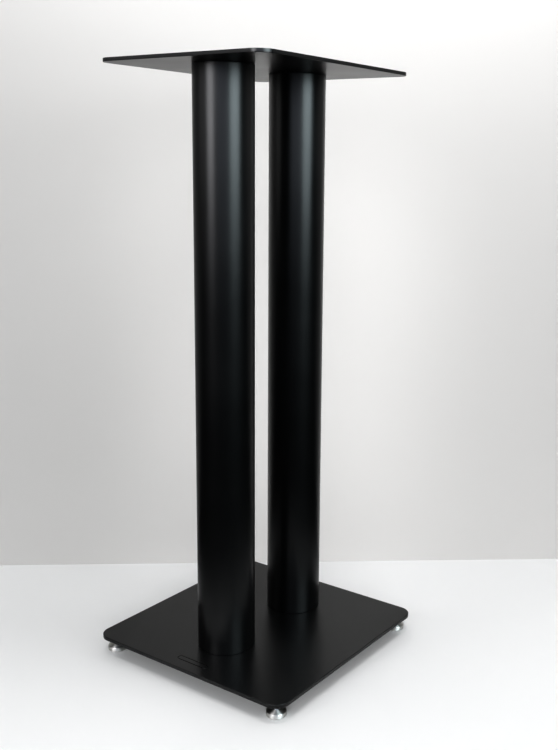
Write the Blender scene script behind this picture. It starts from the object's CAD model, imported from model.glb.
"""A twin-column stand for a bookshelf loudspeaker, finished for its portrait.

Two black powder-coated tubes stand on a square steel plate and carry a smaller one. Blackened
countersunk screws hold them, and four chromed levelling feet wind into nuts welded under the base.
Lengths are metres, +Z is up, the floor is z = 0, and the front of the stand looks along -Y.
"""
from math import cos, hypot, pi, radians, sin

import bmesh
import bpy
import numpy as np
from mathutils import Matrix, Vector
from mathutils.geometry import tessellate_polygon


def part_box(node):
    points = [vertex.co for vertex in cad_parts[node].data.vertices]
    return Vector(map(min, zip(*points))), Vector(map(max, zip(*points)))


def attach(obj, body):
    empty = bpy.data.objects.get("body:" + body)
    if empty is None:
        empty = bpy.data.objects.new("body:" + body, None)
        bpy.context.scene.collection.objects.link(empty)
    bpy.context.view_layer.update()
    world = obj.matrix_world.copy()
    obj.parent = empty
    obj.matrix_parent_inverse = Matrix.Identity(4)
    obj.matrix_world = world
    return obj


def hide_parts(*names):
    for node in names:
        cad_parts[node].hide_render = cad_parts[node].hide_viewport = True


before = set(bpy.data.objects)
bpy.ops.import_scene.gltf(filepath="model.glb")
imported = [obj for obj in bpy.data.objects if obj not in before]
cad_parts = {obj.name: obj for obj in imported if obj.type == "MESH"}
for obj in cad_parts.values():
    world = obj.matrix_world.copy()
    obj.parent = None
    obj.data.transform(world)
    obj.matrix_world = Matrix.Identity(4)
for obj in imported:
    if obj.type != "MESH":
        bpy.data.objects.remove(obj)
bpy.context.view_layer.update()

MM = 0.001
SAME_POINT = 1e-7
SHARP_FROM = radians(40)
ENDS = ("base", "top")
COLUMNS = ("front", "rear")
CORNERS = ("front_left", "front_right", "rear_left", "rear_right")
SCREWS_PER_END = 3

# Plates. A land is a narrow flat ring between a rounded edge and the flat face it runs into.
PLATE_CORNER_RADIUS = 15 * MM
PLATE_EDGE_RADIUS = 0.5 * MM
HOLE_EDGE_RADIUS = 0.12 * MM
LAND = 0.3 * MM
FIT = 0.3 * MM
HEAD_SINK = 0.1 * MM
ENGRAVING_WIDTH = 40 * MM
ENGRAVING_HEIGHT = 7 * MM
ENGRAVING_CORNER = 3.4 * MM
ENGRAVING_LINE = 1 * MM
ENGRAVING_DEPTH = 0.4 * MM
ENGRAVING_SLOPE = 0.1 * MM
ENGRAVING_INSET = 16 * MM

# Columns
COLUMN_WALL = 1.5 * MM
COLUMN_EDGE_RADIUS = 0.3 * MM
COLUMN_LAND = 1.5 * MM

# Screws, studs and nuts, M6. A screw's flank and crest say how steeply its thread falls, and
# for how long it stays on the crest, against the distance from the crest in half pitches.
THREAD_PITCH = 1 * MM
THREAD_DEPTH = 0.54 * MM
THREAD_FLANK = 1.33
THREAD_CREST = 0.17
SHANK_RADIUS = 3 * MM
SCREW_HEAD_RIM = 0.3 * MM
SOCKET_ACROSS_FLATS = 4 * MM
SOCKET_MOUTH_OVER_FLATS = 1.18
SOCKET_DEPTH = 2.2 * MM
SOCKET_FLOOR_RISE = 0.2 * MM
SOCKET_FLOOR_EDGE = 0.25 * MM
TIP_CHAMFER = 0.5 * MM
NUT_BORE_RADIUS = 3.15 * MM
NUT_COUNTERSINK = 0.5 * MM
NUT_WASHER_FACE_OVER_FLATS = 0.94
NUT_CHAMFER_ANGLE = radians(30)
NUT_EDGE = 0.15 * MM

# Levelling feet. The seat is the play left above a pad and below a stud.
FOOT_RIM_HEIGHT = 4.5 * MM
FOOT_CHAMFER = 0.4 * MM
FOOT_EDGE_RADIUS = 0.25 * MM
FOOT_HUB_WALL = 0.4 * MM
PAD_RADIUS = 7.5 * MM
PAD_TOP = 1.5 * MM
PAD_DIP = 0.2 * MM
PAD_DIP_RADIUS_SHARE = 0.7
PAD_RING_RADIUS_SHARE = 0.78
SEAT = 0.05 * MM

# The least roundings, of edges that are nearly sharp
CRISP = 0.05 * MM
FINE = 0.08 * MM


class Place:
    """Where a CAD node stands: its axis, its size and the heights of its two ends."""

    def __init__(self, node):
        low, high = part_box(node)
        self.x = (low.x + high.x) / 2
        self.y = (low.y + high.y) / 2
        self.width = high.x - low.x
        self.depth = high.y - low.y
        self.bottom = low.z
        self.top = high.z
        self.height = high.z - low.z


# ---------------------------------------------------------------- making surfaces

def softened(corners, steps=6):
    """A polyline whose corners are rounded.

    Each corner is (a, b, radius). A corner with a radius becomes the arc of that radius which
    touches both its sides, or of a smaller one where a side is short. Each point of the arc, seen
    from its centre, is the first touching point times the sine of the angle still to turn, plus
    the second times the sine of the angle already turned, over the sine of the whole turn.
    """
    points = np.array([corner[:2] for corner in corners], float)
    runs = [points[:1]]
    for before, here, after, corner in zip(points, points[1:], points[2:], corners[1:]):
        if corner[2] <= 0:
            runs.append(here[None])
            continue
        back_length = hypot(*(before - here))
        ahead_length = hypot(*(after - here))
        back = (before - here) / back_length
        ahead = (after - here) / ahead_length
        half = np.arccos(np.clip(back @ ahead, -1, 1)) / 2
        reach = min(corner[2] / np.tan(half), 0.49 * back_length, 0.49 * ahead_length)
        bisector = (back + ahead) / hypot(*(back + ahead))
        centre = here + bisector * reach / cos(half)
        start = here + back * reach - centre
        end = here + ahead * reach - centre
        turn = pi - 2 * half
        t = np.linspace(0, 1, steps + 1)[:, None]
        runs.append(centre + (np.sin((1 - t) * turn) * start + np.sin(t * turn) * end) / sin(turn))
    runs.append(points[-1:])
    return np.concatenate(runs)


def grid_faces(rows, columns):
    """Quads between the neighbours of a grid that closes on itself along each row."""
    row, column = np.meshgrid(np.arange(rows - 1), np.arange(columns), indexing="ij")
    after = (column + 1) % columns
    corners = (
        row * columns + column,
        row * columns + after,
        (row + 1) * columns + after,
        (row + 1) * columns + column,
    )
    return np.stack(corners, axis=-1).reshape(-1, 4).tolist()


def piece(name, points, faces):
    """A closed mesh object: doubles merged, faces outwards, and smooth but for its sharp edges."""
    mesh = bpy.data.meshes.new(name)
    mesh.from_pydata(np.asarray(points, float).tolist(), [], faces)
    work = bmesh.new()
    work.from_mesh(mesh)
    bmesh.ops.remove_doubles(work, verts=work.verts, dist=SAME_POINT)
    bmesh.ops.recalc_face_normals(work, faces=work.faces)
    work.to_mesh(mesh)
    work.free()
    mesh.shade_smooth()
    mesh.set_sharp_from_angle(angle=SHARP_FROM)
    made = bpy.data.objects.new(name, mesh)
    bpy.context.scene.collection.objects.link(made)
    return made


def turned(name, place, radii, heights, segments, side=1, start=0.0):
    """A body turned about a node's axis, whose outline may also change with the angle.

    Each row of radii and heights goes once round the axis in equal steps from +X. A point lies at
    its radius times the cosine and the sine of its angle from the axis, and at the start plus its
    height. With side = -1 the sine and the height are taken the other way, so the body is half
    turned about X, and a right-hand thread stays right-handed. A row of radius nought is a pole.
    """
    rows = len(heights)
    angle = np.arange(segments) * 2 * pi / segments
    radii = np.broadcast_to(np.asarray(radii, float).reshape(rows, -1), (rows, segments))
    heights = np.broadcast_to(np.asarray(heights, float).reshape(rows, -1), (rows, segments))
    x = place.x + radii * np.cos(angle)
    y = place.y + side * radii * np.sin(angle)
    z = start + side * heights
    return piece(name, np.stack([x, y, z], axis=-1).reshape(-1, 3), grid_faces(rows, segments))


def stacked(rows, segments):
    """The radii and the heights of a turned body, one under the other, at every angle.

    Each row is (radius, height). Either may be one number, one number for each angle, or several
    rows' worth of either.
    """
    pairs = [np.broadcast_arrays(*row, np.zeros((1, segments)))[:2] for row in rows]
    return [np.concatenate(side) for side in zip(*pairs)]


def hexagon(across_flats, segments):
    """The distance from a hexagon's middle to its side at each angle, with a corner at angle 0.

    It is half the width across the flats over the cosine of the angle to the nearest flat's middle.
    """
    angle = np.arange(segments) * 2 * pi / segments
    return across_flats / 2 / np.cos(np.mod(angle, pi / 3) - pi / 6)


def thread(heights, segments):
    """Radii of a right-hand thread at each height and angle.

    The thread's phase is the height in pitches less the angle in turns. The distance from the
    crest, in half pitches, is twice what the phase lacks or has over a half. The radius falls from
    the crest to the root in step with it, with a flat on the crest and one in the root.
    """
    turns = np.arange(segments) / segments
    phase = np.mod(np.asarray(heights)[:, None] / THREAD_PITCH - turns, 1)
    from_crest = np.abs(phase - 0.5) * 2
    return SHANK_RADIUS - THREAD_DEPTH * np.clip(THREAD_FLANK * from_crest - THREAD_CREST, 0, 1)


def rounded_outline(width, depth, radius, inset=0.0, steps=20):
    """Points round a rectangle with corner arcs, drawn in on every side by inset."""
    radius = radius - inset
    x = width / 2 - inset - radius
    y = depth / 2 - inset - radius
    turn = np.linspace(0, pi / 2, steps + 1)
    arcs = []
    for quarter, (side_x, side_y) in enumerate(((1, 1), (-1, 1), (-1, -1), (1, -1))):
        angle = turn + quarter * pi / 2
        arc = (side_x * x + radius * np.cos(angle), side_y * y + radius * np.sin(angle))
        arcs.append(np.column_stack(arc))
    return np.concatenate(arcs)


def circle(radius, x, y, segments=48):
    """Points round a circle."""
    angle = np.arange(segments) * 2 * pi / segments
    return np.column_stack([x + radius * np.cos(angle), y + radius * np.sin(angle)])


def band(profile, outline):
    """Rings of an outline: outline(offset) at the height, for each (offset, height) in a profile.

    The rings follow one another as the rows of a grid.
    """
    rings = []
    for offset, height in profile:
        ring = outline(offset)
        rings.append(np.column_stack([ring, np.full(len(ring), height)]))
    return np.array(rings)


def band_part(rings):
    """The points and faces of a band."""
    return rings.reshape(-1, 3), grid_faces(rings.shape[0], rings.shape[1])


def flat_part(loops):
    """The points and faces of a flat face inside the first loop and outside the others."""
    return np.concatenate(loops), tessellate_polygon([loop.tolist() for loop in loops])


def joined(parts):
    """The points and faces of several parts as one list of each."""
    points = np.concatenate([part[0] for part in parts])
    firsts = np.cumsum([0] + [len(part[0]) for part in parts])
    faces = []
    for first, part in zip(firsts, parts):
        faces += (np.array(part[1]) + first).tolist()
    return points, faces


# ---------------------------------------------------------------- the stand's pieces

def screw_nodes(end):
    """The names of the six screws at one end of the columns."""
    numbers = range(1, SCREWS_PER_END + 1)
    return [f"{column}_{end}_screw_{number}" for column in COLUMNS for number in numbers]


def countersink_rings(screw, mouth_z, other_z):
    """A screw hole with its countersink, from the flat round its mouth to the flat at its far end.

    Its profile is carried round the screw's axis: down the mouth's short wall, in along the
    90 degree cone and down the shank hole, with each rim a little rounded.
    """
    inward = 1 if other_z > mouth_z else -1
    mouth = screw.width / 2 + FIT
    shank = SHANK_RADIUS + FIT
    land = 3 * HOLE_EDGE_RADIUS
    wall = mouth_z + inward * (SCREW_HEAD_RIM + HEAD_SINK)
    cone = wall + inward * (mouth - shank)
    profile = softened([
        (mouth + land, mouth_z, 0),
        (mouth, mouth_z, HOLE_EDGE_RADIUS),
        (mouth, wall, CRISP),
        (shank, cone, CRISP),
        (shank, other_z, HOLE_EDGE_RADIUS),
        (shank + land, other_z, 0),
    ])
    return band(profile, lambda radius: circle(radius, screw.x, screw.y))


def engraving_rings(place):
    """The engraved line: a groove carried round a lozenge near the plate's front edge."""
    floor = place.top - ENGRAVING_DEPTH
    lip = 0.1 * MM
    profile = softened([
        (-LAND, place.top, 0),
        (0, place.top, lip),
        (ENGRAVING_SLOPE, floor, FINE),
        (ENGRAVING_LINE - ENGRAVING_SLOPE, floor, FINE),
        (ENGRAVING_LINE, place.top, lip),
        (ENGRAVING_LINE + LAND, place.top, 0),
    ])
    middle = np.array([place.x, place.y - place.depth / 2 + ENGRAVING_INSET])
    size = (ENGRAVING_WIDTH, ENGRAVING_HEIGHT, ENGRAVING_CORNER)
    return band(profile, lambda inset: middle + rounded_outline(*size, inset))


def plate(node, end, engraved):
    """A sheet-steel plate: its rounded edge carried round the outline, its holes and its two faces.

    The edge's profile runs from a narrow land on the underside, round both rounded edges, to a
    narrow land on the upper face. The screw holes' mouths open on the face that the columns
    aren't on.
    """
    place = Place(node)
    land = PLATE_EDGE_RADIUS + LAND
    profile = softened([
        (land, place.bottom, 0),
        (0, place.bottom, PLATE_EDGE_RADIUS),
        (0, place.top, PLATE_EDGE_RADIUS),
        (land, place.top, 0),
    ])
    middle = np.array([place.x, place.y])
    size = (place.width, place.depth, PLATE_CORNER_RADIUS)
    edge = band(profile, lambda inset: middle + rounded_outline(*size, inset))
    mouth_z = place.top if end == "top" else place.bottom
    other_z = place.bottom if end == "top" else place.top
    holes = [countersink_rings(Place(screw), mouth_z, other_z) for screw in screw_nodes(end)]
    mouth_loops = [rings[0] for rings in holes]
    other_loops = [rings[-1] for rings in holes]
    under_loops = other_loops if end == "top" else mouth_loops
    upper_loops = mouth_loops if end == "top" else other_loops
    parts = [band_part(edge)] + [band_part(rings) for rings in holes]
    if engraved:
        groove = engraving_rings(place)
        upper_loops = upper_loops + [groove[0]]
        parts += [band_part(groove), flat_part([groove[-1]])]
    parts += [flat_part([edge[0]] + under_loops), flat_part([edge[-1]] + upper_loops)]
    return piece(node.replace("plate", "sheet"), *joined(parts))


def fill_engraving(sheet, node):
    """Gives the faces sunk below the plate's upper face, inside the lozenge, a gloss filling."""
    place = Place(node)
    mesh = sheet.data
    centres = np.empty(len(mesh.polygons) * 3)
    mesh.polygons.foreach_get("center", centres)
    x, y, z = centres.reshape(-1, 3).T
    middle_y = place.y - place.depth / 2 + ENGRAVING_INSET
    within_width = np.abs(x - place.x) < ENGRAVING_WIDTH / 2
    within_height = np.abs(y - middle_y) < ENGRAVING_HEIGHT / 2
    least_sunk = 0.02 * MM
    sunk = (z < place.top - least_sunk) & (z > place.top - 1.1 * ENGRAVING_DEPTH)
    mesh.materials.append(gloss_black_fill())
    filled = within_width & within_height & sunk
    mesh.polygons.foreach_set("material_index", filled.astype(np.int32))


def column(node):
    """A steel tube: one closed section, with its four edges broken, turned about the axis."""
    place = Place(node)
    outer = place.width / 2
    inner = outer - COLUMN_WALL
    middle = (place.bottom + place.top) / 2
    section = softened([
        (outer, middle, 0),
        (outer, place.top - COLUMN_LAND, 0),
        (outer, place.top, COLUMN_EDGE_RADIUS),
        (inner, place.top, COLUMN_EDGE_RADIUS),
        (inner, place.top - COLUMN_LAND, 0),
        (inner, place.bottom + COLUMN_LAND, 0),
        (inner, place.bottom, COLUMN_EDGE_RADIUS),
        (outer, place.bottom, COLUMN_EDGE_RADIUS),
        (outer, place.bottom + COLUMN_LAND, 0),
        (outer, middle, 0),
    ])
    name = node.replace("column", "tube")
    return turned(name, place, section[:, 0], section[:, 1], segments=180)


def socket_screw(node, head_up):
    """A countersunk socket screw, drawn from the tip of its shank to the floor of its socket.

    Heights run from the head's face. The shank is the thread cut off by the tip's cone. Above the
    head's cone and rim, the socket starts on a circle, drops along a short cone to the hexagon,
    follows the hexagon down, and closes on a shallow cone.
    """
    place = Place(node)
    segments = 36
    head = place.width / 2
    cone_foot = -(SCREW_HEAD_RIM + head - SHANK_RADIUS)
    shank_z = np.arange(-place.height, cone_foot, THREAD_PITCH / 6)
    tip = SHANK_RADIUS - TIP_CHAMFER + (shank_z + place.height)
    shank_r = np.minimum(thread(shank_z, segments), tip[:, None])
    flats = hexagon(SOCKET_ACROSS_FLATS, segments)
    mouth = SOCKET_ACROSS_FLATS / 2 * SOCKET_MOUTH_OVER_FLATS
    mouth_land = 0.1 * MM
    turned_part = softened([
        (SHANK_RADIUS, cone_foot, 0),
        (head, -SCREW_HEAD_RIM, CRISP),
        (head, 0, FINE),
        (mouth + mouth_land, 0, 0),
    ], steps=4)
    rows = (
        (0, -place.height),
        (shank_r, shank_z[:, None]),
        (turned_part[:, :1], turned_part[:, 1:]),
        (mouth, 0),
        (flats, flats - mouth),
        (flats, SOCKET_FLOOR_EDGE - SOCKET_DEPTH),
        (0.97 * flats, SOCKET_FLOOR_RISE - SOCKET_DEPTH),
        (0, -SOCKET_DEPTH),
    )
    radii, heights = stacked(rows, segments)
    side = 1 if head_up else -1
    face_z = place.top if head_up else place.bottom
    name = node.replace("_screw", "_socket_screw")
    return turned(name, place, radii, heights, segments, side, face_z)


def weld_nut(node):
    """A hexagon nut, its lower corners cut by a 30 degree cone and its bore countersunk below.

    The section starts in the bore, comes out along the countersink to the washer face, goes up the
    cone until it meets the hexagon at each angle, follows the hexagon to the welded face and
    closes on the bore.
    """
    place = Place(node)
    segments = 72
    across = place.depth
    flats = hexagon(across, segments)
    washer = NUT_WASHER_FACE_OVER_FLATS * across / 2
    rows = (
        (NUT_BORE_RADIUS, place.bottom + NUT_COUNTERSINK),
        (NUT_BORE_RADIUS + NUT_COUNTERSINK, place.bottom),
        (washer, place.bottom),
        (flats, place.bottom + (flats - washer) * np.tan(NUT_CHAMFER_ANGLE)),
        (flats, place.top - NUT_EDGE),
        (flats - NUT_EDGE, place.top),
        (NUT_BORE_RADIUS, place.top),
        (NUT_BORE_RADIUS, place.bottom + NUT_COUNTERSINK),
    )
    radii, heights = stacked(rows, segments)
    return turned(node.replace("weld_nut", "hex_nut"), place, radii, heights, segments)


def foot_stud(node):
    """A threaded stud: the thread cut off by a cone at each end, with a pole in each end face."""
    place = Place(node)
    segments = 48
    z = np.arange(place.bottom, place.top, THREAD_PITCH / 10)
    z = np.append(z, place.top)
    from_end = np.minimum(z - place.bottom, place.top - z)
    radii = np.minimum(thread(z, segments), (SHANK_RADIUS - TIP_CHAMFER + from_end)[:, None])
    radii = np.concatenate([np.zeros((1, segments)), radii, np.zeros((1, segments))])
    z = np.concatenate([[place.bottom], z, [place.top]])
    return turned(node.replace("foot_stud", "threaded_stud"), place, radii, z, segments)


def foot_disc(node, stud_node):
    """The turned disc of a foot, one closed section turned about the axis.

    From the stud's socket, the section runs over the hub, down the long cone, over the rim and
    down the wall, under the foot to the pad's recess, and back along the recess's roof. Its inner
    end is the socket's floor, and both ends are poles.
    """
    place = Place(node)
    stud = Place(stud_node)
    radius = place.width / 2
    rim = place.bottom + FOOT_RIM_HEIGHT
    socket = SHANK_RADIUS + FIT
    recess = PAD_RADIUS + FIT
    roof = PAD_TOP + SEAT
    section = softened([
        (0, stud.bottom - SEAT, 0),
        (socket, stud.bottom - SEAT, CRISP),
        (socket, place.top, FINE),
        (socket + FOOT_HUB_WALL, place.top, 0.15 * MM),
        (radius - FOOT_CHAMFER, rim, FOOT_EDGE_RADIUS),
        (radius, rim - FOOT_CHAMFER, FOOT_EDGE_RADIUS),
        (radius, place.bottom + FOOT_CHAMFER, FOOT_EDGE_RADIUS),
        (radius - FOOT_CHAMFER, place.bottom, 0.2 * MM),
        (recess, place.bottom, 0.15 * MM),
        (recess, roof, CRISP),
        (0, roof, 0),
    ], steps=8)
    name = node.replace("foot_disc", "turned_disc")
    return turned(name, place, section[:, 0], section[:, 1], segments=128)


def foot_pad(node):
    """A rubber disc with soft edges and a shallow round hollow moulded in its underside."""
    place = Place(node)
    radius = place.width / 2
    section = softened([
        (0, place.bottom + PAD_DIP, 0),
        (PAD_DIP_RADIUS_SHARE * radius, place.bottom + PAD_DIP, 0.2 * MM),
        (PAD_RING_RADIUS_SHARE * radius, place.bottom, 0.2 * MM),
        (radius, place.bottom, 0.3 * MM),
        (radius, place.top, 0.15 * MM),
        (0, place.top, 0),
    ])
    name = node.replace("foot_pad", "rubber_pad")
    return turned(name, place, section[:, 0], section[:, 1], segments=72)


# ---------------------------------------------------------------- node groups

def new_group(name, inputs, outputs):
    """An empty shader node group with its inputs and outputs, and their two end nodes."""
    group = bpy.data.node_groups.new(name, "ShaderNodeTree")
    for label, kind, default in inputs:
        socket = group.interface.new_socket(label, in_out="INPUT", socket_type=kind)
        if default is not None:
            socket.default_value = default
    for label, kind in outputs:
        group.interface.new_socket(label, in_out="OUTPUT", socket_type=kind)
    start = group.nodes.new("NodeGroupInput")
    end = group.nodes.new("NodeGroupOutput")
    return group, start.outputs, end.inputs


def maths(tree, operation, first, second=0.0, clamp=False):
    """A Math node's output. Each operand is a socket or a number."""
    node = tree.nodes.new("ShaderNodeMath")
    node.operation = operation
    node.use_clamp = clamp
    for socket, value in zip(node.inputs, (first, second)):
        if isinstance(value, bpy.types.NodeSocket):
            tree.links.new(value, socket)
        else:
            socket.default_value = value
    return node.outputs[0]


def vector_maths(tree, operation, vector, factor=None):
    """A Vector Math node's outputs. The factor, where there is one, is three numbers."""
    node = tree.nodes.new("ShaderNodeVectorMath")
    node.operation = operation
    tree.links.new(vector, node.inputs[0])
    if factor:
        node.inputs[1].default_value = factor
    return node.outputs


def separated(tree, vector):
    """The X, Y and Z of a vector."""
    node = tree.nodes.new("ShaderNodeSeparateXYZ")
    tree.links.new(vector, node.inputs[0])
    return node.outputs


def mixed_shaders(tree, factor, first, second):
    """A Mix Shader's output, from the first to the second as the factor goes from 0 to 1."""
    node = tree.nodes.new("ShaderNodeMixShader")
    tree.links.new(factor, node.inputs["Fac"])
    tree.links.new(first, node.inputs[1])
    tree.links.new(second, node.inputs[2])
    return node.outputs[0]


def noise(tree, vector, scale, detail, roughness=0.5):
    """A Noise Texture's value output. The scale is a socket or a number."""
    node = tree.nodes.new("ShaderNodeTexNoise")
    node.inputs["Detail"].default_value = detail
    node.inputs["Roughness"].default_value = roughness
    tree.links.new(vector, node.inputs["Vector"])
    if isinstance(scale, bpy.types.NodeSocket):
        tree.links.new(scale, node.inputs["Scale"])
    else:
        node.inputs["Scale"].default_value = scale
    return node.outputs["Fac"]


def spread(tree, value, low, high, to_low, to_high):
    """A Map Range node's output: value from low..high taken to to_low..to_high, and held there."""
    node = tree.nodes.new("ShaderNodeMapRange")
    node.inputs["From Min"].default_value = low
    node.inputs["From Max"].default_value = high
    node.inputs["To Min"].default_value = to_low
    node.inputs["To Max"].default_value = to_high
    tree.links.new(value, node.inputs["Value"])
    return node.outputs["Result"]


def dust_group():
    """Settled dust: fine specks and a thin veil, on faces that look up."""
    group, given, made = new_group(
        "settled_dust",
        [("Vector", "NodeSocketVector", None), ("Amount", "NodeSocketFloat", 0.1)],
        [("Mask", "NodeSocketFloat")],
    )
    geometry = group.nodes.new("ShaderNodeNewGeometry")
    normal = separated(group, geometry.outputs["Normal"])
    looks_up = spread(group, normal["Z"], 0.5, 0.95, 0, 1)
    veil = spread(group, noise(group, given["Vector"], 14, 3), 0.35, 0.75, 0.1, 0.5)
    specks = spread(group, noise(group, given["Vector"], 1400, 1), 0.72, 0.8, 0, 1)
    both = maths(group, "MAXIMUM", veil, specks)
    settled = maths(group, "MULTIPLY", both, looks_up)
    mask = maths(group, "MULTIPLY", settled, given["Amount"], clamp=True)
    group.links.new(mask, made["Mask"])
    return group


def grain_group():
    """A fine surface grain in two sizes, and the slow mottling that goes with it."""
    group, given, made = new_group(
        "surface_grain",
        [("Vector", "NodeSocketVector", None), ("Scale", "NodeSocketFloat", 1000.0)],
        [("Height", "NodeSocketFloat"), ("Mottle", "NodeSocketFloat")],
    )
    fine = noise(group, given["Vector"], given["Scale"], 2, 0.6)
    coarse_scale = maths(group, "MULTIPLY", given["Scale"], 0.28)
    coarse = noise(group, given["Vector"], coarse_scale, 1)
    fine_part = maths(group, "MULTIPLY", fine, 0.45)
    height = maths(group, "ADD", fine_part, maths(group, "MULTIPLY", coarse, 0.55))
    slow_scale = maths(group, "MULTIPLY", given["Scale"], 0.012)
    mottle = spread(group, noise(group, given["Vector"], slow_scale, 4), 0.3, 0.7, 0, 1)
    group.links.new(height, made["Height"])
    group.links.new(mottle, made["Mottle"])
    return group


def turning_group():
    """Lathe marks: rings round an upright axis, closely and unevenly spaced along the profile.

    The position along the profile is the distance from the axis less the height, so the rings
    follow a cone, a flat face and a wall alike. The feet stand mirrored about the origin, so the
    absolute values of x and y bring every foot onto one axis.
    """
    group, given, made = new_group(
        "lathe_marks",
        [
            ("Vector", "NodeSocketVector", None),
            ("Axis Distance", "NodeSocketFloat", 0.0),
            ("Pitch", "NodeSocketFloat", 0.1),
        ],
        [("Height", "NodeSocketFloat"), ("Streak", "NodeSocketFloat")],
    )
    position = separated(group, given["Vector"])
    x = maths(group, "SUBTRACT", maths(group, "ABSOLUTE", position["X"]), given["Axis Distance"])
    y = maths(group, "SUBTRACT", maths(group, "ABSOLUTE", position["Y"]), given["Axis Distance"])
    squares = maths(group, "ADD", maths(group, "MULTIPLY", x, x), maths(group, "MULTIPLY", y, y))
    along = maths(group, "SUBTRACT", maths(group, "SQRT", squares), position["Z"])
    rings = maths(group, "DIVIDE", along, given["Pitch"])
    line = group.nodes.new("ShaderNodeTexNoise")
    line.noise_dimensions = "1D"
    line.inputs["Scale"].default_value = 1
    line.inputs["Detail"].default_value = 2
    group.links.new(rings, line.inputs["W"])
    group.links.new(line.outputs["Fac"], made["Height"])
    streak = spread(group, line.outputs["Fac"], 0.35, 0.65, 0, 1)
    group.links.new(streak, made["Streak"])
    return group


GRAIN = grain_group()
DUST = dust_group()
TURNING = turning_group()
DUST_COLOUR = (0.24, 0.23, 0.22)


# ---------------------------------------------------------------- finishes

def new_finish(name):
    """A material with one Principled shader, and the Object coordinates it reads."""
    material = bpy.data.materials.new(name)
    material.use_nodes = True
    tree = material.node_tree
    shader = tree.nodes["Principled BSDF"]
    coordinates = tree.nodes.new("ShaderNodeTexCoord")
    return material, tree, shader, coordinates.outputs["Object"]


def placed(tree, group, vector, **values):
    """A node group placed in a material, its Vector linked and its other inputs set."""
    node = tree.nodes.new("ShaderNodeGroup")
    node.node_tree = group
    tree.links.new(vector, node.inputs["Vector"])
    for label, value in values.items():
        node.inputs[label.replace("_", " ")].default_value = value
    return node.outputs


def blended(tree, mask, first, second):
    """A colour that goes from first to second as the mask goes from 0 to 1."""
    node = tree.nodes.new("ShaderNodeMix")
    node.data_type = "RGBA"
    tree.links.new(mask, node.inputs["Factor"])
    for label, value in (("A", first), ("B", second)):
        socket = [s for s in node.inputs if s.name == label and s.type == "RGBA"][0]
        if isinstance(value, bpy.types.NodeSocket):
            tree.links.new(value, socket)
        else:
            socket.default_value = (*value, 1)
    return [s for s in node.outputs if s.type == "RGBA"][0]


def bumped(tree, shader, height, distance, strength):
    """A Bump node from a height to the shader's normal."""
    bump = tree.nodes.new("ShaderNodeBump")
    bump.inputs["Strength"].default_value = strength
    bump.inputs["Distance"].default_value = distance
    tree.links.new(height, bump.inputs["Height"])
    tree.links.new(bump.outputs["Normal"], shader.inputs["Normal"])


def round_axis(tree, vector, axis_distance):
    """The horizontal direction round the upright axis of the nearest foot.

    An axis stands at plus or minus the given distance in both x and y. The offset from it is the
    position less the position's sign times that distance. The direction is the offset turned by a
    quarter.
    """
    position = separated(tree, vector)
    offsets = {}
    for letter in "XY":
        axis = maths(tree, "MULTIPLY", maths(tree, "SIGN", position[letter]), axis_distance)
        offsets[letter] = maths(tree, "SUBTRACT", position[letter], axis)
    merged = tree.nodes.new("ShaderNodeCombineXYZ")
    tree.links.new(maths(tree, "MULTIPLY", offsets["Y"], -1.0), merged.inputs["X"])
    tree.links.new(offsets["X"], merged.inputs["Y"])
    return vector_maths(tree, "NORMALIZE", merged.outputs[0])["Vector"]


def black_powder_coat():
    """Fine satin black powder coat, with a faint orange peel and very little settled dust."""
    material, tree, shader, vector = new_finish("black_powder_coat")
    shader.inputs["IOR"].default_value = 1.5
    grain = placed(tree, GRAIN, vector, Scale=900.0)
    dust = placed(tree, DUST, vector, Amount=0.006)
    coat = blended(tree, grain["Mottle"], (0.0014, 0.0015, 0.0016), (0.0024, 0.0025, 0.0026))
    dusty = blended(tree, dust["Mask"], coat, DUST_COLOUR)
    tree.links.new(dusty, shader.inputs["Base Color"])
    satin = spread(tree, grain["Mottle"], 0, 1, 0.29, 0.33)
    tree.links.new(maths(tree, "ADD", satin, dust["Mask"]), shader.inputs["Roughness"])
    bumped(tree, shader, grain["Height"], 0.02 * MM, 0.5)
    return material


def gloss_black_fill():
    """Gloss black paint wiped into the engraved line, a little thinner in places."""
    material, tree, shader, vector = new_finish("gloss_black_fill")
    grain = placed(tree, GRAIN, vector, Scale=1600.0)
    colour = blended(tree, grain["Mottle"], (0.0006, 0.0006, 0.0006), (0.0012, 0.0012, 0.0012))
    tree.links.new(colour, shader.inputs["Base Color"])
    tree.links.new(spread(tree, grain["Mottle"], 0, 1, 0.12, 0.2), shader.inputs["Roughness"])
    bumped(tree, shader, grain["Height"], 0.01 * MM, 0.3)
    return material


def blackened_steel():
    """Black oxide on a screw, worn a little where the tooling rubs."""
    material, tree, shader, vector = new_finish("blackened_steel")
    shader.inputs["Metallic"].default_value = 0.8
    grain = placed(tree, GRAIN, vector, Scale=2600.0)
    colour = blended(tree, grain["Mottle"], (0.035, 0.035, 0.037), (0.065, 0.064, 0.064))
    tree.links.new(colour, shader.inputs["Base Color"])
    tree.links.new(spread(tree, grain["Height"], 0.3, 0.7, 0.3, 0.5), shader.inputs["Roughness"])
    bumped(tree, shader, grain["Height"], 0.01 * MM, 0.4)
    return material


def bare_steel():
    """Bright turned steel on the plugs inside the tubes, with a dull bloom on it."""
    material, tree, shader, vector = new_finish("bare_steel")
    shader.inputs["Metallic"].default_value = 1.0
    rings = placed(tree, TURNING, vector, Pitch=0.25 * MM)
    grain = placed(tree, GRAIN, vector, Scale=1500.0)
    colour = blended(tree, grain["Mottle"], (0.34, 0.34, 0.33), (0.48, 0.48, 0.47))
    tree.links.new(colour, shader.inputs["Base Color"])
    tree.links.new(spread(tree, rings["Streak"], 0, 1, 0.35, 0.5), shader.inputs["Roughness"])
    bumped(tree, shader, rings["Height"], 0.02 * MM, 0.4)
    return material


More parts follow.
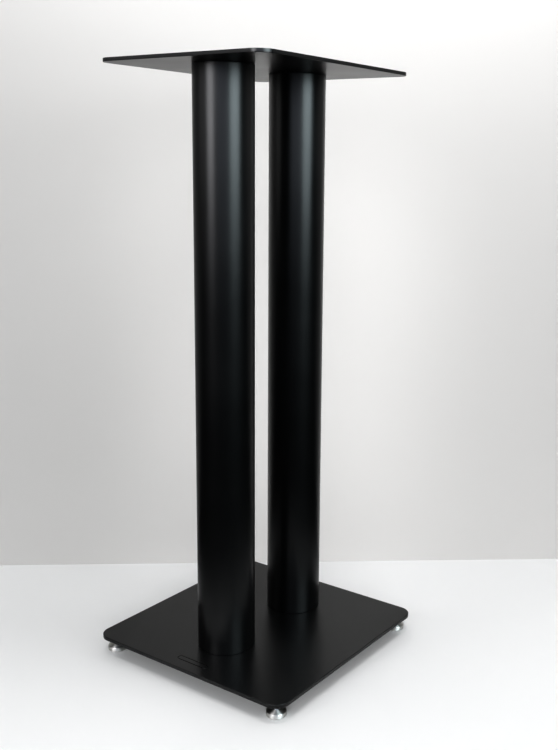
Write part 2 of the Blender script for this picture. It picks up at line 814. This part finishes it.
def zinc_plated_steel():
    """Bright zinc plate on the studs and weld nuts, slightly blue, with a fine uneven grain."""
    material, tree, shader, vector = new_finish("zinc_plated_steel")
    shader.inputs["Metallic"].default_value = 1.0
    grain = placed(tree, GRAIN, vector, Scale=3000.0)
    colour = blended(tree, grain["Mottle"], (0.54, 0.55, 0.58), (0.68, 0.69, 0.72))
    tree.links.new(colour, shader.inputs["Base Color"])
    tree.links.new(spread(tree, grain["Height"], 0.3, 0.7, 0.2, 0.34), shader.inputs["Roughness"])
    bumped(tree, shader, grain["Height"], 0.006 * MM, 0.4)
    return material


def polished_chrome():
    """Chrome plate over a turned disc, its gloss drawn out across the fine turning marks."""
    material, tree, shader, vector = new_finish("polished_chrome")
    shader.inputs["Metallic"].default_value = 1.0
    axis_distance = Place("front_right_foot_disc").x
    rings = placed(tree, TURNING, vector, Axis_Distance=axis_distance, Pitch=0.4 * MM)
    grain = placed(tree, GRAIN, vector, Scale=1800.0)
    colour = blended(tree, grain["Mottle"], (0.6, 0.595, 0.575), (0.66, 0.655, 0.635))
    tree.links.new(colour, shader.inputs["Base Color"])
    tree.links.new(spread(tree, rings["Streak"], 0, 1, 0.38, 0.48), shader.inputs["Roughness"])
    bumped(tree, shader, rings["Height"], 0.05 * MM, 1.0)
    shader.inputs["Anisotropic"].default_value = 0.9
    shader.inputs["Anisotropic Rotation"].default_value = 0.25
    tree.links.new(round_axis(tree, vector, axis_distance), shader.inputs["Tangent"])
    return material


def pad_rubber():
    """Matt black rubber, with the powdery bloom of a moulded part."""
    material, tree, shader, vector = new_finish("pad_rubber")
    shader.inputs["IOR"].default_value = 1.5
    grain = placed(tree, GRAIN, vector, Scale=2200.0)
    colour = blended(tree, grain["Mottle"], (0.016, 0.016, 0.016), (0.03, 0.029, 0.028))
    tree.links.new(colour, shader.inputs["Base Color"])
    tree.links.new(spread(tree, grain["Height"], 0.3, 0.7, 0.7, 0.85), shader.inputs["Roughness"])
    bumped(tree, shader, grain["Height"], 0.03 * MM, 0.6)
    return material


FINISHES = {
    "black_powder_coat": black_powder_coat(),
    "blackened_steel": blackened_steel(),
    "bare_steel": bare_steel(),
    "zinc_plated_steel": zinc_plated_steel(),
    "polished_chrome": polished_chrome(),
    "pad_rubber": pad_rubber(),
}


def fitted(made, node, body, slot):
    """The piece stands for its CAD node, rides on its body and takes its finish."""
    made.data.materials.append(FINISHES[slot])
    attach(made, body)
    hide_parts(node)


def build_stand():
    """Makes every piece that replaces a CAD node, and finishes the plugs, which stay."""
    base = plate("base_plate", "base", engraved=True)
    fitted(base, "base_plate", "frame", "black_powder_coat")
    fill_engraving(base, "base_plate")
    fitted(plate("top_plate", "top", engraved=False), "top_plate", "frame", "black_powder_coat")
    for name in COLUMNS:
        fitted(column(f"{name}_column"), f"{name}_column", "frame", "black_powder_coat")
        for end in ENDS:
            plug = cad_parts[f"{name}_{end}_plug"]
            plug.data.materials.clear()
            plug.data.materials.append(FINISHES["bare_steel"])
    for end in ENDS:
        for screw in screw_nodes(end):
            fitted(socket_screw(screw, head_up=end == "top"), screw, "frame", "blackened_steel")
    for corner in CORNERS:
        nut = f"{corner}_weld_nut"
        stud = f"{corner}_foot_stud"
        disc = f"{corner}_foot_disc"
        pad = f"{corner}_foot_pad"
        fitted(weld_nut(nut), nut, "frame", "zinc_plated_steel")
        fitted(foot_stud(stud), stud, f"{corner}_foot", "zinc_plated_steel")
        fitted(foot_disc(disc, stud), disc, f"{corner}_foot", "polished_chrome")
        fitted(foot_pad(pad), pad, f"{corner}_pad", "pad_rubber")


# ---------------------------------------------------------------- camera, floor and light

# The camera. Its lens is in millimetres. It is turned left from +Y, tipped down and leans, in
# radians, and its eye is given from the middle of the base plate's upper face.
FOCAL_LENGTH = 45.86
SENSOR_WIDTH = 36
LENS_SHIFT = (-0.0937, -0.0312)
EYE_OVER_BASE = Vector((0.62996, -0.77209, 0.5039))
HEADING = 0.590044
DOWNWARD = 0.192783
LEAN = 0.019617


def add_camera():
    """A camera in front of the stand's right side, looking slightly down."""
    data = bpy.data.cameras.new("portrait")
    data.lens = FOCAL_LENGTH
    data.sensor_width = SENSOR_WIDTH
    data.shift_x, data.shift_y = LENS_SHIFT
    camera = bpy.data.objects.new("portrait", data)
    base = Place("base_plate")
    eye = Vector((base.x, base.y, base.top)) + EYE_OVER_BASE
    turn = Matrix.Rotation(HEADING, 4, "Z")
    tilt = Matrix.Rotation(pi / 2 - DOWNWARD, 4, "X")
    lean = Matrix.Rotation(LEAN, 4, "Z")
    camera.matrix_world = Matrix.Translation(eye) @ turn @ tilt @ lean
    bpy.context.scene.collection.objects.link(camera)
    bpy.context.scene.camera = camera


# The stage. The wall is turned from the X axis, and its distance is from the stand's middle.
# Each fade is (start, end, most), as stage_material explains.
WALL_TURN = radians(38.2)
WALL_DISTANCE = 0.207
WALL_HEIGHT = 2.4
WALL_HALF_WIDTH = 2.2
FLOOR_HALF = 1.6
FLOOR_FADE = (0.42, 0.8, 1)
FLOOR_GLOSS_FADE = (0.16, 0.36, 1)
WALL_GLOSS_FADE = (0.26, 0.4, 0.5)
FLOOR_COLOUR = (0.86, 0.865, 0.87)
WALL_COLOUR = (0.853, 0.842, 0.832)
STAGE_ROUGHNESS = 0.55
STAGE_MOTTLE = 0.985
SURROUND_COLOUR = (0.7, 0.705, 0.71)
SURROUND_STRENGTH = 1.0
AMBIENT_COLOUR = (0.97, 0.99, 1.0)
AMBIENT_STRENGTH = 0.26

# The lights. Powers are watts, and directions are degrees from the front, turned towards +X.
FRONT_SOFTBOX_POWER = 25.0
SIDE_SOFTBOX_POWER = 39.0
MIDDLE_SOFTBOX_POWER = 10.0
FRONT_EDGE_POWER = 2.6
SIDE_EDGE_POWER = 1.4
FRONT_WASH_POWER = 1.9
SIDE_WASH_POWER = 3.9
OVERHEAD_POWER = 0.8
WALL_WASH_POWER = 5.5
WALL_GLOW_POWER = 0.28
FILL_POWER = 20.0
FRONT_SOFTBOX_DIRECTION = -7.5
SIDE_SOFTBOX_DIRECTION = 80
MIDDLE_SOFTBOX_DIRECTION = 35
FRONT_EDGE_DIRECTION = -44
SIDE_EDGE_DIRECTION = 136
FRONT_WASH_DIRECTION = -24
SIDE_WASH_DIRECTION = 88
FILL_DIRECTION = 31
TOWARDS_WALL = 218
ALONG_WALL = 128
LIGHT_DISTANCE = 1.6
SOFTBOX_HEIGHT = 1.16
EDGE_HEIGHT = 1.1
WASH_HEIGHT = 0.7
GLOW_HEIGHT = 0.27
STAND_MIDDLE = (0, 0, 0.5)
WHITE = (1, 1, 1)
FRONT_SOFTBOX_COLOUR = (1, 1, 1.03)
SIDE_SOFTBOX_COLOUR = (0.87, 1, 1.04)
MIDDLE_SOFTBOX_COLOUR = (0.94, 1, 1.12)


def stage_material(name, colour, gloss_fade, fade=None):
    """A plain matt surface that can't be seen from behind, and partly vanishes with distance.

    Distances are horizontal, from the stand's middle. As the distance goes from a fade's start to
    its end, the part that vanishes goes from nought to the fade's most. One fade is for reflected
    rays alone, as in a darker room behind a small stage, and the other is for every ray. The
    greatest part given by the back and the fades is the one that vanishes.
    """
    material, tree, shader, vector = new_finish(name)
    shader.inputs["Roughness"].default_value = STAGE_ROUGHNESS
    mottle = noise(tree, vector, scale=3, detail=3)
    dim = tuple(STAGE_MOTTLE * value for value in colour)
    tree.links.new(blended(tree, mottle, dim, colour), shader.inputs["Base Color"])
    flat = vector_maths(tree, "MULTIPLY", vector, (1, 1, 0))["Vector"]
    distance = vector_maths(tree, "LENGTH", flat)["Value"]
    path = tree.nodes.new("ShaderNodeLightPath")
    geometry = tree.nodes.new("ShaderNodeNewGeometry")
    start, end, most = gloss_fade
    far = spread(tree, distance, start, end, 0, most)
    reflected = maths(tree, "MULTIPLY", far, path.outputs["Is Glossy Ray"])
    vanished = maths(tree, "MAXIMUM", geometry.outputs["Backfacing"], reflected)
    if fade:
        start, end, most = fade
        faded = spread(tree, distance, start, end, 0, most)
        vanished = maths(tree, "MAXIMUM", vanished, faded)
    clear = tree.nodes.new("ShaderNodeBsdfTransparent")
    surface = mixed_shaders(tree, vanished, shader.outputs[0], clear.outputs[0])
    tree.links.new(surface, tree.nodes["Material Output"].inputs["Surface"])
    return material


def stage_sheet(name, corners, material):
    """A flat four-cornered sheet of the stage."""
    mesh = bpy.data.meshes.new(name)
    mesh.from_pydata([tuple(corner) for corner in corners], [], [(0, 1, 2, 3)])
    mesh.materials.append(material)
    made = bpy.data.objects.new(name, mesh)
    bpy.context.scene.collection.objects.link(made)
    made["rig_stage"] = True


def add_stage():
    """A pale wall behind the stand, and a pale floor that fades out into the surround."""
    along = Vector((cos(WALL_TURN), sin(WALL_TURN), 0))
    away = Vector((-sin(WALL_TURN), cos(WALL_TURN), 0))
    foot = away * WALL_DISTANCE
    left = foot - along * WALL_HALF_WIDTH
    right = foot + along * WALL_HALF_WIDTH
    up = Vector((0, 0, WALL_HEIGHT))
    matt_wall = stage_material("matt_wall", WALL_COLOUR, WALL_GLOSS_FADE)
    stage_sheet("wall", (left, right, right + up, left + up), matt_wall)
    side = along * FLOOR_HALF
    depth = away * FLOOR_HALF
    matt_floor = stage_material("matt_floor", FLOOR_COLOUR, FLOOR_GLOSS_FADE, FLOOR_FADE)
    corners = (-side - depth, side - depth, side + depth, depth - side)
    stage_sheet("floor", corners, matt_floor)


def softbox(name, place, aim, size, power, colour=WHITE, lights_only=None):
    """A rectangular light that faces a point and can't be seen itself.

    The size is (width, height). Where a collection is given, the light reaches nothing else.
    """
    data = bpy.data.lights.new(name, "AREA")
    data.shape = "RECTANGLE"
    data.size, data.size_y = size
    data.energy = power
    data.color = colour
    lamp = bpy.data.objects.new(name, data)
    lamp.location = place
    lamp.rotation_euler = (Vector(place) - Vector(aim)).to_track_quat("Z", "Y").to_euler()
    lamp.visible_camera = False
    if lights_only:
        lamp.light_linking.receiver_collection = lights_only
    bpy.context.scene.collection.objects.link(lamp)


def compass(direction, distance, height):
    """The point at a horizontal direction from the stand's front, turned towards +X."""
    turn = radians(direction)
    return Vector((distance * sin(turn), -distance * cos(turn), height))


def gathered(name, objects):
    """A collection of objects that certain lights are kept to."""
    collection = bpy.data.collections.new(name)
    for member in objects:
        collection.objects.link(member)
    return collection


def add_lights():
    """Separate lights for the stand and for the stage, and two that light both.

    Three softboxes draw the streaks down the columns, and two weak ones light the columns' edges:
    all five light the stand alone. Two low washes and a glow behind the stand light the wall and
    the floor alone, and a low fill lights the floor alone. The overhead light and the wash that
    falls on the wall light everything.
    """
    shown = [o for o in bpy.context.scene.objects if o.type == "MESH"]
    stand = gathered("stand", [o for o in shown if "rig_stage" not in o])
    stage = gathered("stage", [o for o in shown if "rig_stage" in o])
    floor = gathered("floor_only", [o for o in shown if o.name == "floor"])

    def around(name, direction, height, size, power, colour, lights_only):
        """A softbox that stands round the stand at the usual distance and faces its middle."""
        place = compass(direction, LIGHT_DISTANCE, height)
        softbox(name, place, STAND_MIDDLE, size, power, colour, lights_only)

    around("front_softbox", FRONT_SOFTBOX_DIRECTION, SOFTBOX_HEIGHT, (0.86, 1.5),
           FRONT_SOFTBOX_POWER, FRONT_SOFTBOX_COLOUR, stand)
    around("side_softbox", SIDE_SOFTBOX_DIRECTION, SOFTBOX_HEIGHT, (1.2, 1.5),
           SIDE_SOFTBOX_POWER, SIDE_SOFTBOX_COLOUR, stand)
    around("middle_softbox", MIDDLE_SOFTBOX_DIRECTION, SOFTBOX_HEIGHT, (1.5, 1.5),
           MIDDLE_SOFTBOX_POWER, MIDDLE_SOFTBOX_COLOUR, stand)
    around("front_edge", FRONT_EDGE_DIRECTION, EDGE_HEIGHT, (0.8, 1.4),
           FRONT_EDGE_POWER, WHITE, stand)
    around("side_edge", SIDE_EDGE_DIRECTION, EDGE_HEIGHT, (0.8, 1.4),
           SIDE_EDGE_POWER, WHITE, stand)
    around("front_wash", FRONT_WASH_DIRECTION, WASH_HEIGHT, (1.0, 0.8),
           FRONT_WASH_POWER, WHITE, stage)
    around("side_wash", SIDE_WASH_DIRECTION, WASH_HEIGHT, (1.3, 0.8),
           SIDE_WASH_POWER, WHITE, stage)
    softbox("overhead", (0.1, -0.1, 2.2), (0.1, -0.1, 0), (1.4, 1.4), OVERHEAD_POWER)
    along = compass(ALONG_WALL, 0.1, 0)
    over = compass(TOWARDS_WALL, -0.12, 1.3) + along
    onto = compass(TOWARDS_WALL, 0.21, 0.85) + along
    softbox("wall_wash", over, onto, (0.8, 0.25), WALL_WASH_POWER)
    low = compass(TOWARDS_WALL, 0.05, GLOW_HEIGHT) + 0.3 * along
    lower = compass(TOWARDS_WALL, 0.21, GLOW_HEIGHT) + 0.3 * along
    softbox("wall_glow", low, lower, (0.3, 0.5), WALL_GLOW_POWER, WHITE, stage)
    beside = compass(FILL_DIRECTION, 1.7, 0.4)
    softbox("low_fill", beside, (0, 0, 0.1), (1.4, 0.5), FILL_POWER, WHITE, floor)


def background(tree, colour, strength):
    """A Background shader's output. The strength is a socket or a number."""
    node = tree.nodes.new("ShaderNodeBackground")
    node.inputs["Color"].default_value = (*colour, 1)
    if isinstance(strength, bpy.types.NodeSocket):
        tree.links.new(strength, node.inputs["Strength"])
    else:
        node.inputs["Strength"].default_value = strength
    return node.outputs[0]


def add_world():
    """A pale surround for what the camera sees, and a soft ambient light.

    The ambient light's strength is multiplied by nought for glossy rays and by one for the rest,
    so the room is dark in reflections.
    """
    world = bpy.data.worlds.new("surround")
    bpy.context.scene.world = world
    world.use_nodes = True
    tree = world.node_tree
    tree.nodes.clear()
    path = tree.nodes.new("ShaderNodeLightPath")
    seen = background(tree, SURROUND_COLOUR, SURROUND_STRENGTH)
    unglossy = maths(tree, "SUBTRACT", 1.0, path.outputs["Is Glossy Ray"])
    ambient = background(tree, AMBIENT_COLOUR, maths(tree, "MULTIPLY", unglossy, AMBIENT_STRENGTH))
    mixed = mixed_shaders(tree, path.outputs["Is Camera Ray"], ambient, seen)
    out = tree.nodes.new("ShaderNodeOutputWorld")
    tree.links.new(mixed, out.inputs["Surface"])


add_camera()
build_stand()
add_stage()
add_lights()
add_world()
bpy.context.scene.view_settings.view_transform = "Standard"
bpy.context.scene.view_settings.look = "High Contrast"
